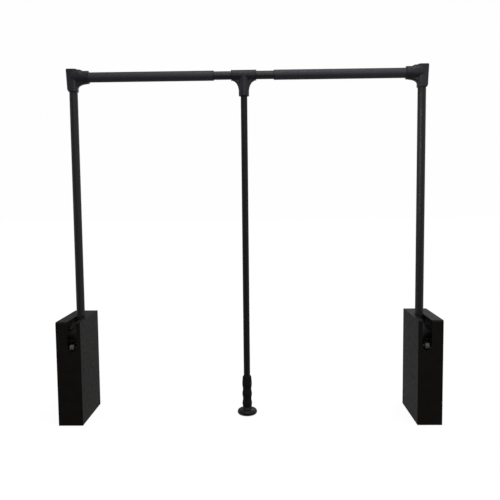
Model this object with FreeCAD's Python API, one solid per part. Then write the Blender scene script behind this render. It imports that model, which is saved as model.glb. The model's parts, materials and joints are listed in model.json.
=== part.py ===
# Pull-down wardrobe rail: two spring housings for the wardrobe's sides, two arms that swing forward
# out of them, a telescopic hanging rail between the arms and a rod with a grip to pull the rail down.
# Millimetres. X runs along the rail, -Y is the front, Z is up. The origin is midway between the
# housings, at the level of their undersides. The left side is modelled and the right side is its
# mirror image.
import FreeCAD, Part
import math
import os

V = FreeCAD.Vector

# Overall sizes
OVERALL_WIDTH = 920.0       # from wall face to wall face
RAIL_HEIGHT = 840.0         # axis of the hanging rail above the housings' undersides
SWING_DEG = 92.0            # how far the arms come forward

# Housing
HOUSING_WIDTH = 59.0
HOUSING_DEPTH = 160.0
HOUSING_HEIGHT = 253.0
COVER_WALL = 2.5
TOP_FRONT_RADIUS = 4.5
COVER_EDGE_RADIUS = 1.0
PLATE_THICKNESS = 2.0
PLATE_GAP = 0.5             # between the plate's edges and the cover around it
WALL_SCREW_SPACING_Y = 128.0
WALL_SCREW_SPACING_Z = 192.0
WALL_SCREW_HOLE_D = 5.5
COVER_SCREW_D = 4.0
COVER_SCREW_HEAD_D = 8.0
COVER_SCREW_LENGTH = 9.0
COVER_SCREW_DRIVE = 1.2     # depth of the hexagon socket
COVER_SCREW_SPACING = 84.0
COVER_TAB_WIDTH = 24.0
COVER_TAB_MARGIN = 12.0     # of the tab beyond the screws

# Pivot
PIVOT_Y = 0.0
PIVOT_DROP = 45.0           # of the pivot axis below the housing's top
ARM_INSET = 38.0            # of the arm's axis from the wall face
AXLE_D = 10.0
AXLE_TENON_D = 7.0
BUSH_WALL = 2.0
HUB_D = 30.0
HUB_NECK_D = 22.0
DRUM_D = 54.0               # of the hub's drum, which closes the slot below the upright arm
DRUM_WALL = 3.0
CHEEK_THICKNESS = 2.0
CHEEK_MARGIN = 9.0          # of the cheek around the posts and pins it holds
POST_D = 9.0
POST_TENON_D = 6.0
FRONT_POST_DROP = 46.0      # of the front post below the pivot
FRONT_POST_REACH = 34.0     # of the front post in front of the pivot
STOP_PIN_D = 8.0
STOP_HEAD_D = 14.0          # of the pins' heads, which the arm comes to rest on
STOP_HEAD_WIDTH = 10.0
STOP_HEAD_SHIFT = 3.5       # of the heads from the arm's axis towards the wall
STOP_HEAD_ROUND = 1.0
UPRIGHT_STOP_GAP = 0.6      # between the hub's drum and the upright stop pin's head
FRONT_STOP_SETBACK = 11.5   # of the front stop pin behind the cover's front wall

# Arm
ARM_D = 20.0
ARM_WALL = 1.2
SLOT_GAP = 0.8              # between the arm and the slot's sides
SLOT_DROP = 13.5            # from the lowered arm's axis to the centre of the slot's round end
ARM_FOOT_GAP = 2.0          # from the hub's drum to the arm's lower end
SPIGOT_LENGTH = 40.0        # of the hub's spigot inside the arm
ARM_PIN_D = 4.0
ARM_PIN_RISE = 13.0         # of the arm pin above the arm's lower end

# Gear sector and rack
GEAR_MODULE = 2.0
GEAR_TEETH = 20             # on the full circle
PRESSURE_ANGLE = math.radians(20.0)
GEAR_WIDTH = 8.0
GEAR_ARM_GAP = 3.0          # from the arm to the gear
BACKLASH = 0.6
LAST_TOOTH = 1              # of the sector above the mesh point, when upright
RACK_BODY = 9.5             # behind the roots of the rack's teeth
RACK_RISE = 6.0             # of the rack's top above the pivot
RACK_FOOT = 6.0             # below the rack's lowest tooth
GUIDE_LIP = 3.0
GUIDE_BACK = 10.0
GUIDE_HEIGHT = 64.0
GUIDE_TOP_GAP = 6.0         # below the cover's top wall

# Spring, damper and what carries them
DRAW_BAR_D = 6.0
DRAW_BAR_ENGAGED = 12.0     # in the foot of the rack
BRIDGE_GAP = 12.0           # between the rack's foot and the bridge
BRIDGE_THICKNESS = 4.0
BRIDGE_FLANGE_HEIGHT = 20.0
BRIDGE_FLANGE_THICKNESS = 3.0
BRIDGE_MARGIN = 4.0         # of the bridge around the spring and the damper
BRIDGE_REAR_GAP = 2.25      # between the bridge and the cover's rear wall
SPRING_WIRE = 4.0
SPRING_OUTER_D = 26.0
SPRING_TURNS = 10
SEAT_GAP = 0.3              # between the spring and each of its seats
CROSSHEAD_THICKNESS = 4.0
CROSSHEAD_WIDTH = 23.0
NUT_ACROSS_FLATS = 10.0
NUT_HEIGHT = 6.0
DRAW_BAR_END = 4.0          # below the nut
DRAW_BAR_FLOOR = 16.0       # of the draw bar's end above the housing's underside
DAMPER_D = 22.0
DAMPER_WALL = 1.8
DAMPER_FLOOR = 8.8          # between the raised crosshead and the cylinder
DAMPER_END = 3.0            # thickness of the cylinder's end walls
DAMPER_NECK_D = 12.0
DAMPER_NECK = 6.0           # above the bridge's underside
DAMPER_ROD_D = 6.0
PISTON_HEIGHT = 8.0

# Corner connector between arm and rail
ELBOW_RISE = 19.5           # above the rail's axis
ELBOW_DROP = 34.0           # below the rail's axis
ELBOW_REACH = 38.0          # from the arm's axis to the rail collar's end
ELBOW_ARM_WALL = 3.0        # in front of the arm and behind it
ELBOW_INNER_WALL = 1.6      # between the arm and the connector's inner side
ELBOW_OUTER_WALL = 2.9      # between the arm and the foot of the connector's outer side
ELBOW_OUTER_LEAN = 2.3      # of the outer side, from its foot to the top
ELBOW_OUTER_CORNER = 6.0
ELBOW_INNER_CORNER = 9.0
ELBOW_FOOT_BEVEL = 4.5      # height of the bevel under the outer side
ELBOW_FOOT_WALL = 0.8       # left around the arm by the bevel
ELBOW_COLLAR_WALL = 3.7
ELBOW_COLLAR_LENGTH = 12.0
ELBOW_NECK_STEP = 0.7       # from the rail's collar down to the neck
ELBOW_NECK_SIDE = 0.4       # straight height in the sides of the narrow neck
ELBOW_NECK_WIDTH = 28.0     # where the neck leaves the column
ELBOW_NECK_START = 2.0      # of the neck, outward from the arm's axis
ELBOW_NECK_RISE = 19.4      # of the neck above the rail's axis, at the column
ELBOW_RIDGE_RISE = 19.2     # of the neck above the rail's axis, where it starts to fall
ELBOW_RIDGE = 17.0          # inward from the arm's axis to where the neck starts to fall
ELBOW_WEB = 16.0
ELBOW_WEB_ROUND = 4.0
ELBOW_WEB_DROP = 25.5       # of the web's lower end below the rail's axis
ELBOW_TOP_ROUND = 1.5
CORNER_FULLNESS = 0.14      # of the curved webs: 0 is a hollow corner, 0.5 a straight edge
ARM_TOP_DROP = 14.0         # of the arm's upper end below the rail's axis
RAIL_SOCKET = 22.0          # depth of the rail's socket
CAP_WIDTH = 10.0
CAP_HEIGHT = 34.0
CAP_DROP = 6.0              # of the cap's middle below the rail's axis
CAP_SEAT_WALL = 1.8         # between the arm and the cap
CAP_PROUD = 0.5
SET_SCREW_D = 5.0
SET_SCREW_HEX = 2.5
ARM_SET_SCREW_DROP = 24.0   # of the arm's set screw below the rail's axis
RAIL_SET_SCREW_DEPTH = 11.0  # of the rail's set screw inside the socket

# Telescopic rail
RAIL_D = 24.0
RAIL_WALL = 1.2
RAIL_MOUTH = 72.5           # from the rail's middle to the end of each outer tube's bush
INNER_D = 20.0
INNER_WALL = 1.2
INNER_ENGAGED = 155.0       # of the inner tube in each outer tube, at the usual width
MIDDLE_SHIFT = -6.5         # of the rail's middle from halfway between the housings
GUIDE_BUSH_LENGTH = 30.0
GUIDE_BUSH_FLANGE = 2.0
GUIDE_BUSH_CHAMFER = 0.7
END_PLUG_HEAD = 8.0
END_PLUG_SPIGOT = 15.0

# Tee, pull rod, grip and knob
TEE_LENGTH = 56.0
TEE_WALL = 2.5
TEE_DROP = 49.5             # of the stem's end below the rail's axis
TEE_STEM_D = 25.0
TEE_SOCKET = 26.0
TEE_FIN = 11.0              # thickness of the fins between sleeve and stem
TEE_FIN_DROP = 36.5         # of the fins' lower ends below the rail's axis
TEE_FIN_ROUND = 3.0
TEE_RING_WIDTH = 2.0
TEE_RING_PROUD = 0.4
TEE_SCREW_RISE = 11.0       # of the tee's set screw above the stem's end
ROD_D = 16.0
ROD_WALL = 1.0
GRIP_LENGTH = 78.7
GRIP_MOUTH_D = 18.4
GRIP_SHOULDER_D = 22.4
GRIP_SHOULDER_DROP = 4.0
GRIP_SWELL_D = 24.2
GRIP_WAIST_D = 21.4
GRIP_FOOT_D = 22.6
GRIP_SWELLS = 3
GRIP_FIRST_SWELL = 21.6     # of the uppermost swelling below the grip's top
GRIP_LAST_SWELL = 7.6       # of the lowest swelling above the grip's bottom
KNOB_D = 49.0
KNOB_RIM = 13.5             # height of the rounded rim
KNOB_HEIGHT = 20.0
KNOB_BOTTOM = 0.8           # above the housings' undersides
KNOB_HOLLOW = 1.5           # of the knob's underside
KNOB_SPIGOT = 24.0          # inside the pull rod

# Fits
PRESS_GAP = 0.02            # radial, between pieces of one body
RUN_GAP = 0.04              # radial, between a shaft and its hole
SLIDE_GAP = 0.08            # radial, between the telescopic tubes and their bushes
FREE_GAP = 0.5              # between pieces that pass each other
STOP_GAP = 0.3              # between the arm and its stop pins, and beside the tee
SCREW_GAP = 0.05            # radial, around screws

# Places worked out from the sizes above
WALL_X = -OVERALL_WIDTH / 2
PLATE_X = WALL_X + PLATE_THICKNESS
INNER_FACE_X = WALL_X + HOUSING_WIDTH
FRONT_Y = -HOUSING_DEPTH / 2
ARM_X = WALL_X + ARM_INSET
PIVOT_Z = HOUSING_HEIGHT - PIVOT_DROP
FRONT_STOP_REACH = PIVOT_Y - FRONT_Y - COVER_WALL - FRONT_STOP_SETBACK
ARM_R = ARM_D / 2
ARM_FOOT_Z = PIVOT_Z + DRUM_D / 2 + ARM_FOOT_GAP
ARM_PIN_Z = ARM_FOOT_Z + ARM_PIN_RISE
HUB_END_X = ARM_X + ARM_R + FREE_GAP
CHEEK_X = HUB_END_X + FREE_GAP
HUB_START_X = PLATE_X + FREE_GAP
DRUM_X = ARM_X - ARM_R + FREE_GAP
GEAR_END_X = ARM_X - ARM_R - GEAR_ARM_GAP
GEAR_X = GEAR_END_X - GEAR_WIDTH
GEAR_MID_X = GEAR_X + GEAR_WIDTH / 2
PITCH_R = GEAR_MODULE * GEAR_TEETH / 2
TIP_R = PITCH_R + GEAR_MODULE
DEDENDUM = 1.25 * GEAR_MODULE
ROOT_R = PITCH_R - DEDENDUM
BASE_R = PITCH_R * math.cos(PRESSURE_ANGLE)
TOOTH_PITCH = math.pi * GEAR_MODULE
RACK_TRAVEL = PITCH_R * math.radians(SWING_DEG)
RACK_PITCH_Y = PIVOT_Y + PITCH_R
RACK_ROOT_Y = RACK_PITCH_Y + DEDENDUM
RACK_BACK_Y = RACK_ROOT_Y + RACK_BODY
DRAW_BAR_Y = RACK_ROOT_Y + RACK_BODY / 2
FIRST_TOOTH = -math.ceil(RACK_TRAVEL / TOOTH_PITCH)
LOWEST_TOOTH_Z = PIVOT_Z + (FIRST_TOOTH - 0.5) * TOOTH_PITCH
RACK_BOTTOM_Z = LOWEST_TOOTH_Z - TOOTH_PITCH / 2 - RACK_FOOT
BRIDGE_TOP_Z = RACK_BOTTOM_Z - BRIDGE_GAP
BRIDGE_Z = BRIDGE_TOP_Z - BRIDGE_THICKNESS
CROSSHEAD_Z = DRAW_BAR_FLOOR + DRAW_BAR_END + NUT_HEIGHT
SEAT_Z = CROSSHEAD_Z + CROSSHEAD_THICKNESS
DAMPER_Y = -FRONT_Y - COVER_WALL - BRIDGE_REAR_GAP - BRIDGE_MARGIN - DAMPER_D / 2
DAMPER_Z = SEAT_Z + RACK_TRAVEL + DAMPER_FLOOR
RAIL_R = RAIL_D / 2
INNER_HALF = RAIL_MOUTH + INNER_ENGAGED
ROD_R = ROD_D / 2
REAR_POSTS_Y = RACK_BACK_Y + GUIDE_BACK + POST_D
POSTS = (
    V(0, PIVOT_Y - FRONT_POST_REACH, PIVOT_Z - FRONT_POST_DROP),
    V(0, REAR_POSTS_Y, BRIDGE_Z + BRIDGE_FLANGE_HEIGHT + POST_D),
    V(0, REAR_POSTS_Y, HOUSING_HEIGHT - COVER_WALL - GUIDE_TOP_GAP - CHEEK_MARGIN),
)


def box(x_from, x_to, y_from, y_to, z_from, z_to):
    return Part.makeBox(x_to - x_from, y_to - y_from, z_to - z_from, V(x_from, y_from, z_from))


def along_x(diameter, x_from, x_to, y, z):
    return Part.makeCylinder(diameter / 2, x_to - x_from, V(x_from, y, z), V(1, 0, 0))


def along_y(diameter, x, y_from, y_to, z):
    return Part.makeCylinder(diameter / 2, y_to - y_from, V(x, y_from, z), V(0, 1, 0))


def along_z(diameter, x, y, z_from, z_to):
    return Part.makeCylinder(diameter / 2, z_to - z_from, V(x, y, z_from), V(0, 0, 1))


def joined(shapes):
    whole = shapes[0].fuse(shapes[1:])
    return whole.removeSplitter()


def polygon_solid(points, depth):
    face = Part.Face(Part.makePolygon(points + [points[0]]))
    return face.extrude(depth)


def hexagon(across_flats, x, y, z_from, z_to):
    radius = across_flats / math.sqrt(3)
    turns = [math.radians(60 * corner) for corner in range(6)]
    points = [V(x + radius * math.cos(turn), y + radius * math.sin(turn), z_from) for turn in turns]
    return polygon_solid(points, V(0, 0, z_to - z_from))


def around_pivot(radius, angle):
    """A point of the YZ plane, at an angle counted from the rear towards the top."""
    return V(0, PIVOT_Y + radius * math.cos(angle), PIVOT_Z + radius * math.sin(angle))


STOP_OFFSET = ARM_R + STOP_GAP + STOP_HEAD_D / 2


def stop_pin_place(along, arm_angle, side):
    """The centre of a pin that the arm just touches, on one side of the arm at that angle."""
    on_arm = around_pivot(along, arm_angle)
    square = V(0, -math.sin(arm_angle), math.cos(arm_angle))
    return on_arm + square * (side * STOP_OFFSET)


UPRIGHT_STOP_R = DRUM_D / 2 + UPRIGHT_STOP_GAP + STOP_HEAD_D / 2
UPRIGHT_STOP_RISE = math.sqrt(UPRIGHT_STOP_R ** 2 - STOP_OFFSET ** 2)
UPRIGHT_STOP = stop_pin_place(UPRIGHT_STOP_RISE, math.radians(90), -1)
FRONT_STOP = stop_pin_place(FRONT_STOP_REACH, math.radians(90 + SWING_DEG), 1)


# Housing

def cover_outline(margin, x):
    """The housing seen from the side, drawn in by a margin, with its rounded top front edge."""
    front = FRONT_Y + margin
    back = -FRONT_Y - margin
    bottom = margin
    top = HOUSING_HEIGHT - margin
    radius = TOP_FRONT_RADIUS - margin
    middle = V(x, front + radius, top - radius)
    arc_middle = middle + V(0, -radius, radius) * math.sqrt(0.5)
    edges = [
        Part.makeLine(V(x, front, bottom), V(x, back, bottom)),
        Part.makeLine(V(x, back, bottom), V(x, back, top)),
        Part.makeLine(V(x, back, top), V(x, front + radius, top)),
        Part.Arc(V(x, front + radius, top), arc_middle, V(x, front, top - radius)).toShape(),
        Part.makeLine(V(x, front, top - radius), V(x, front, bottom)),
    ]
    return Part.Face(Part.Wire(edges))


def slot_cutter():
    width = ARM_D + 2 * SLOT_GAP
    lowered_axis = PIVOT_Z - (PIVOT_Y - FRONT_Y) * math.tan(math.radians(SWING_DEG - 90))
    end_z = lowered_axis - SLOT_DROP
    beyond_front = FRONT_Y - FREE_GAP
    beyond_top = HOUSING_HEIGHT + FREE_GAP
    inside_front = FRONT_Y + COVER_WALL + FREE_GAP
    opening = box(ARM_X - width / 2, ARM_X + width / 2, beyond_front, PIVOT_Y, end_z, beyond_top)
    rear_end = along_z(width, ARM_X, PIVOT_Y, PIVOT_Z, beyond_top)
    lower_end = along_y(width, ARM_X, beyond_front, inside_front, end_z)
    return joined([opening, rear_end, lower_end])


def cover_screw_places():
    x = PLATE_X + COVER_TAB_WIDTH / 2
    return [(x, -COVER_SCREW_SPACING / 2), (x, COVER_SCREW_SPACING / 2)]


def housing_cover():
    outside = cover_outline(0, WALL_X).extrude(V(HOUSING_WIDTH, 0, 0))
    rim = [edge for edge in outside.Edges if edge.BoundBox.XMin > INNER_FACE_X - COVER_EDGE_RADIUS]
    outside = outside.makeFillet(COVER_EDGE_RADIUS, rim)
    inside = cover_outline(COVER_WALL, WALL_X).extrude(V(HOUSING_WIDTH - COVER_WALL, 0, 0))
    cover = outside.cut(inside).cut(slot_cutter())
    for x, y in cover_screw_places():
        cover = cover.cut(along_z(COVER_SCREW_D + 4 * SCREW_GAP, x, y, -FREE_GAP, COVER_WALL + FREE_GAP))
        cover = cover.cut(countersink(COVER_SCREW_HEAD_D + 4 * SCREW_GAP, COVER_SCREW_D, x, y))
    return cover


def countersink(wide, narrow, x, y):
    """The cone of a countersunk head in the underside."""
    return Part.makeCone(wide / 2, narrow / 2, (wide - narrow) / 2, V(x, y, 0), V(0, 0, 1))


def cover_screws():
    screws = []
    for x, y in cover_screw_places():
        shank = along_z(COVER_SCREW_D, x, y, 0, COVER_SCREW_LENGTH)
        head = countersink(COVER_SCREW_HEAD_D, COVER_SCREW_D, x, y)
        drive = hexagon(COVER_SCREW_D / 2, x, y, -FREE_GAP, COVER_SCREW_DRIVE)
        screws.append(joined([shank, head]).cut(drive))
    return Part.makeCompound(screws)


def mounting_plate():
    margin = COVER_WALL + PLATE_GAP
    plate = cover_outline(margin, WALL_X).extrude(V(PLATE_THICKNESS, 0, 0))
    half = COVER_SCREW_SPACING / 2 + COVER_TAB_MARGIN
    tab = box(WALL_X, PLATE_X + COVER_TAB_WIDTH, -half, half, COVER_WALL, COVER_WALL + PLATE_THICKNESS)
    plate = joined([plate, tab])
    for y in (-WALL_SCREW_SPACING_Y / 2, WALL_SCREW_SPACING_Y / 2):
        for rise in (-WALL_SCREW_SPACING_Z / 2, WALL_SCREW_SPACING_Z / 2):
            z = HOUSING_HEIGHT / 2 + rise
            plate = plate.cut(along_x(WALL_SCREW_HOLE_D, WALL_X - FREE_GAP, PLATE_X + FREE_GAP, y, z))
    for x, y in cover_screw_places():
        plate = plate.cut(along_z(COVER_SCREW_D + 2 * SCREW_GAP, x, y, 0, COVER_SCREW_LENGTH))
    for post in POSTS:
        plate = plate.cut(tenon_hole(POST_TENON_D, WALL_X, PLATE_X, post))
    return plate.cut(tenon_hole(AXLE_TENON_D, WALL_X, PLATE_X, around_pivot(0, 0)))


def tenon_hole(diameter, x_from, x_to, place):
    return along_x(diameter + 2 * PRESS_GAP, x_from - FREE_GAP, x_to + FREE_GAP, place.y, place.z)


def cheek_plate():
    """The plate on the arm's far side, from the front stop to the rear posts."""
    places = list(POSTS) + [UPRIGHT_STOP, FRONT_STOP]
    low_y = min(place.y for place in places) - CHEEK_MARGIN
    high_y = max(place.y for place in places) + CHEEK_MARGIN
    low_z = min(place.z for place in places) - CHEEK_MARGIN
    high_z = max(place.z for place in places) + CHEEK_MARGIN
    end_x = CHEEK_X + CHEEK_THICKNESS
    cheek = box(CHEEK_X, end_x, low_y, high_y, low_z, high_z)
    corners = [edge for edge in cheek.Edges if edge.BoundBox.XLength > CHEEK_THICKNESS / 2]
    cheek = cheek.makeFillet(CHEEK_MARGIN, corners)
    for place in places:
        cheek = cheek.cut(tenon_hole(POST_TENON_D, CHEEK_X, end_x, place))
    return cheek.cut(tenon_hole(AXLE_TENON_D, CHEEK_X, end_x, around_pivot(0, 0)))


def riveted_bar(diameter, tenon_d, place):
    """A round bar between plate and cheek, with a tenon in each."""
    body = along_x(diameter, PLATE_X, CHEEK_X, place.y, place.z)
    tenons = along_x(tenon_d, WALL_X, CHEEK_X + CHEEK_THICKNESS, place.y, place.z)
    return joined([body, tenons])


def spacer_posts():
    return Part.makeCompound([riveted_bar(POST_D, POST_TENON_D, place) for place in POSTS])


def pivot_axle():
    return riveted_bar(AXLE_D, AXLE_TENON_D, around_pivot(0, 0))


def stop_pins():
    """The pins in the cheek plate, each with a thick head that reaches across the arm's middle."""
    head_x = ARM_X - STOP_HEAD_SHIFT - STOP_HEAD_WIDTH / 2
    head_end = head_x + STOP_HEAD_WIDTH
    pins = []
    for place in (UPRIGHT_STOP, FRONT_STOP):
        head = along_x(STOP_HEAD_D, head_x, head_end, place.y, place.z)
        rims = [edge for edge in head.Edges if edge.BoundBox.XLength < FREE_GAP]
        head = head.makeFillet(STOP_HEAD_ROUND, rims)
        pin = along_x(STOP_PIN_D, ARM_X, CHEEK_X, place.y, place.z)
        tenon = along_x(POST_TENON_D, ARM_X, CHEEK_X + CHEEK_THICKNESS, place.y, place.z)
        pins.append(joined([head, pin, tenon]))
    return Part.makeCompound(pins)


def spring_bridge():
    """The bracket that holds the spring's upper end and hangs the damper."""
    reach_x = GEAR_MID_X + SPRING_OUTER_D / 2 + BRIDGE_MARGIN
    low_y = DRAW_BAR_Y - SPRING_OUTER_D / 2 - BRIDGE_MARGIN
    high_y = DAMPER_Y + DAMPER_D / 2 + BRIDGE_MARGIN
    shelf = box(PLATE_X, reach_x, low_y, high_y, BRIDGE_Z, BRIDGE_TOP_Z)
    flange_x = PLATE_X + BRIDGE_FLANGE_THICKNESS
    flange = box(PLATE_X, flange_x, low_y, high_y, BRIDGE_Z, BRIDGE_Z + BRIDGE_FLANGE_HEIGHT)
    bridge = joined([shelf, flange])
    below = BRIDGE_Z - FREE_GAP
    above = BRIDGE_TOP_Z + FREE_GAP
    bridge = bridge.cut(along_z(DRAW_BAR_D + 2 * RUN_GAP, GEAR_MID_X, DRAW_BAR_Y, below, above))
    return bridge.cut(along_z(DAMPER_NECK_D + 2 * PRESS_GAP, GEAR_MID_X, DAMPER_Y, below, above))


def rack_guide():
    top = HOUSING_HEIGHT - COVER_WALL - GUIDE_TOP_GAP
    front = RACK_ROOT_Y + GUIDE_LIP
    back = RACK_BACK_Y + GUIDE_BACK
    block = box(PLATE_X, GEAR_END_X + GUIDE_LIP, front, back, top - GUIDE_HEIGHT, top)
    channel_x = GEAR_X - SEAT_GAP
    channel_end = GEAR_END_X + SEAT_GAP
    channel_back = RACK_BACK_Y + SEAT_GAP
    return block.cut(box(channel_x, channel_end, front - FREE_GAP, channel_back, 0, HOUSING_HEIGHT))


def damper_cylinder():
    outside = along_z(DAMPER_D, GEAR_MID_X, DAMPER_Y, DAMPER_Z, BRIDGE_Z)
    neck = along_z(DAMPER_NECK_D, GEAR_MID_X, DAMPER_Y, BRIDGE_Z - DAMPER_END, BRIDGE_Z + DAMPER_NECK)
    bore_d = DAMPER_D - 2 * DAMPER_WALL
    bore = along_z(bore_d, GEAR_MID_X, DAMPER_Y, DAMPER_Z + DAMPER_END, BRIDGE_Z - DAMPER_END)
    rod_hole_d = DAMPER_ROD_D + 2 * RUN_GAP
    rod_hole = along_z(rod_hole_d, GEAR_MID_X, DAMPER_Y, DAMPER_Z - FREE_GAP, BRIDGE_Z - DAMPER_END)
    return joined([outside, neck]).cut(bore).cut(rod_hole)


# Spring

SPRING_R = (SPRING_OUTER_D - SPRING_WIRE) / 2
SPRING_BOTTOM_Z = SEAT_Z + SEAT_GAP + SPRING_WIRE / 2
SPRING_RISE = BRIDGE_Z - SEAT_Z - 2 * SEAT_GAP - SPRING_WIRE


def spring_point(turns):
    angle = 2 * math.pi * turns
    x = GEAR_MID_X + SPRING_R * math.cos(angle)
    y = DRAW_BAR_Y + SPRING_R * math.sin(angle)
    return V(x, y, SPRING_BOTTOM_Z + SPRING_RISE * turns / SPRING_TURNS)


def spring_direction(turns):
    angle = 2 * math.pi * turns
    climb = SPRING_RISE / (2 * math.pi * SPRING_TURNS)
    return V(-SPRING_R * math.sin(angle), SPRING_R * math.cos(angle), climb).normalize()


def tangent_arc(start, direction, end):
    """The arc that leaves start in a direction and reaches end."""
    chord = end - start
    along = V(chord).normalize()
    half_turn = direction.getAngle(along)
    outward = (direction - along * direction.dot(along)).normalize()
    middle = (start + end) * 0.5 + outward * (chord.Length / 2 * math.tan(half_turn / 2))
    return Part.Arc(start, middle, end).toShape()


def biarc(start, start_direction, end, end_direction):
    """Two arcs that meet smoothly and leave and arrive in the given directions."""
    chord = end - start
    both = start_direction + end_direction
    spread = 2 * (1 - start_direction.dot(end_direction))
    reach = chord.dot(both)
    length = (math.sqrt(reach * reach + spread * chord.dot(chord)) - reach) / spread
    meeting = (start + end + (start_direction - end_direction) * length) * 0.5
    first = tangent_arc(start, start_direction, meeting)
    second = tangent_arc(end, end_direction * -1, meeting)
    return [first, second]


def counter_spring():
    quarter_turns = [number / 4 for number in range(4 * SPRING_TURNS + 1)]
    points = [spring_point(turns) for turns in quarter_turns]
    directions = [spring_direction(turns) for turns in quarter_turns]
    edges = []
    for number in range(4 * SPRING_TURNS):
        edges += biarc(points[number], directions[number], points[number + 1], directions[number + 1])
    path = Part.Wire(Part.__sortEdges__(edges))
    ring = Part.makeCircle(SPRING_WIRE / 2, spring_point(0), spring_direction(0))
    return path.makePipeShell([Part.Wire(ring)], True, False)


def spring_gap():
    """The least gap between turns, measured on points along the wire."""
    per_turn = 24
    count = per_turn * SPRING_TURNS + 1
    points = [spring_point(number / per_turn) for number in range(count)]
    pairs = [(a, b) for a in range(count) for b in range(a + per_turn // 2, count)]
    return min(points[a].distanceToPoint(points[b]) for a, b in pairs) - SPRING_WIRE


# Rack and what it pulls

def rack():
    """A bar with straight-sided teeth towards the gear; a tooth space faces the pivot when upright."""
    top = PIVOT_Z + RACK_RISE
    tip_y = RACK_PITCH_Y - GEAR_MODULE
    half_pitch_line = TOOTH_PITCH / 4 - BACKLASH / 4
    half_root = half_pitch_line + DEDENDUM * math.tan(PRESSURE_ANGLE)
    half_tip = half_pitch_line - GEAR_MODULE * math.tan(PRESSURE_ANGLE)
    pieces = [box(GEAR_X, GEAR_END_X, RACK_ROOT_Y, RACK_BACK_Y, RACK_BOTTOM_Z, top)]
    for number in range(FIRST_TOOTH, LAST_TOOTH + 1):
        z = PIVOT_Z + (number - 0.5) * TOOTH_PITCH
        points = [
            V(GEAR_X, RACK_ROOT_Y, z - half_root),
            V(GEAR_X, tip_y, z - half_tip),
            V(GEAR_X, tip_y, z + half_tip),
            V(GEAR_X, RACK_ROOT_Y, z + half_root),
        ]
        pieces.append(polygon_solid(points, V(GEAR_WIDTH, 0, 0)))
    socket_top = RACK_BOTTOM_Z + DRAW_BAR_ENGAGED
    socket = along_z(DRAW_BAR_D + 2 * PRESS_GAP, GEAR_MID_X, DRAW_BAR_Y, RACK_BOTTOM_Z - FREE_GAP, socket_top)
    return joined(pieces).cut(socket)


def draw_bar():
    return along_z(DRAW_BAR_D, GEAR_MID_X, DRAW_BAR_Y, DRAW_BAR_FLOOR, RACK_BOTTOM_Z + DRAW_BAR_ENGAGED)


def crosshead():
    """The plate under the spring, which also pushes the damper's rod."""
    half = CROSSHEAD_WIDTH / 2
    ends = []
    for y, diameter in ((DRAW_BAR_Y, SPRING_OUTER_D), (DAMPER_Y, CROSSHEAD_WIDTH)):
        ends.append(along_z(diameter, GEAR_MID_X, y, CROSSHEAD_Z, SEAT_Z))
    bar = box(GEAR_MID_X - half, GEAR_MID_X + half, DRAW_BAR_Y, DAMPER_Y, CROSSHEAD_Z, SEAT_Z)
    plate = joined(ends + [bar])
    for y, diameter in ((DRAW_BAR_Y, DRAW_BAR_D), (DAMPER_Y, DAMPER_ROD_D)):
        hole = along_z(diameter + 2 * PRESS_GAP, GEAR_MID_X, y, CROSSHEAD_Z - FREE_GAP, SEAT_Z + FREE_GAP)
        plate = plate.cut(hole)
    return plate


def draw_bar_nut():
    nut = hexagon(NUT_ACROSS_FLATS, GEAR_MID_X, DRAW_BAR_Y, CROSSHEAD_Z - NUT_HEIGHT, CROSSHEAD_Z)
    hole = along_z(DRAW_BAR_D + 2 * PRESS_GAP, GEAR_MID_X, DRAW_BAR_Y, 0, CROSSHEAD_Z + FREE_GAP)
    return nut.cut(hole)


def damper_rod():
    piston_z = DAMPER_Z + DAMPER_END + FREE_GAP
    piston_d = DAMPER_D - 2 * DAMPER_WALL - 2 * RUN_GAP
    rod = along_z(DAMPER_ROD_D, GEAR_MID_X, DAMPER_Y, CROSSHEAD_Z, piston_z + PISTON_HEIGHT)
    piston = along_z(piston_d, GEAR_MID_X, DAMPER_Y, piston_z, piston_z + PISTON_HEIGHT)
    return joined([rod, piston])


# Arm and its hub

BUSH_D = AXLE_D + 2 * RUN_GAP + 2 * BUSH_WALL


def involute_half_angle(radius):
    """Half the angle that a gear tooth takes up at a radius."""
    pressure = math.acos(BASE_R / radius)
    at_pitch = math.pi / (2 * GEAR_TEETH) - BACKLASH / 4 / PITCH_R
    return at_pitch + math.tan(PRESSURE_ANGLE) - PRESSURE_ANGLE - math.tan(pressure) + pressure


def gear_tooth(middle):
    """One involute tooth, its flanks drawn as arcs from the base circle to the tip."""
    flank_r = (BASE_R, (BASE_R + TIP_R) / 2, TIP_R)
    foot_r = ROOT_R - GEAR_MODULE / 2
    low = [around_pivot(r, middle - involute_half_angle(r)) for r in flank_r]
    high = [around_pivot(r, middle + involute_half_angle(r)) for r in flank_r]
    low_foot = around_pivot(foot_r, middle - involute_half_angle(BASE_R))
    high_foot = around_pivot(foot_r, middle + involute_half_angle(BASE_R))
    edges = [
        Part.makeLine(low_foot, low[0]),
        Part.Arc(low[0], low[1], low[2]).toShape(),
        Part.Arc(low[2], around_pivot(TIP_R, middle), high[2]).toShape(),
        Part.Arc(high[2], high[1], high[0]).toShape(),
        Part.makeLine(high[0], high_foot),
        Part.makeLine(high_foot, low_foot),
    ]
    return Part.Face(Part.Wire(edges)).extrude(V(GEAR_WIDTH, 0, 0))


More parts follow.
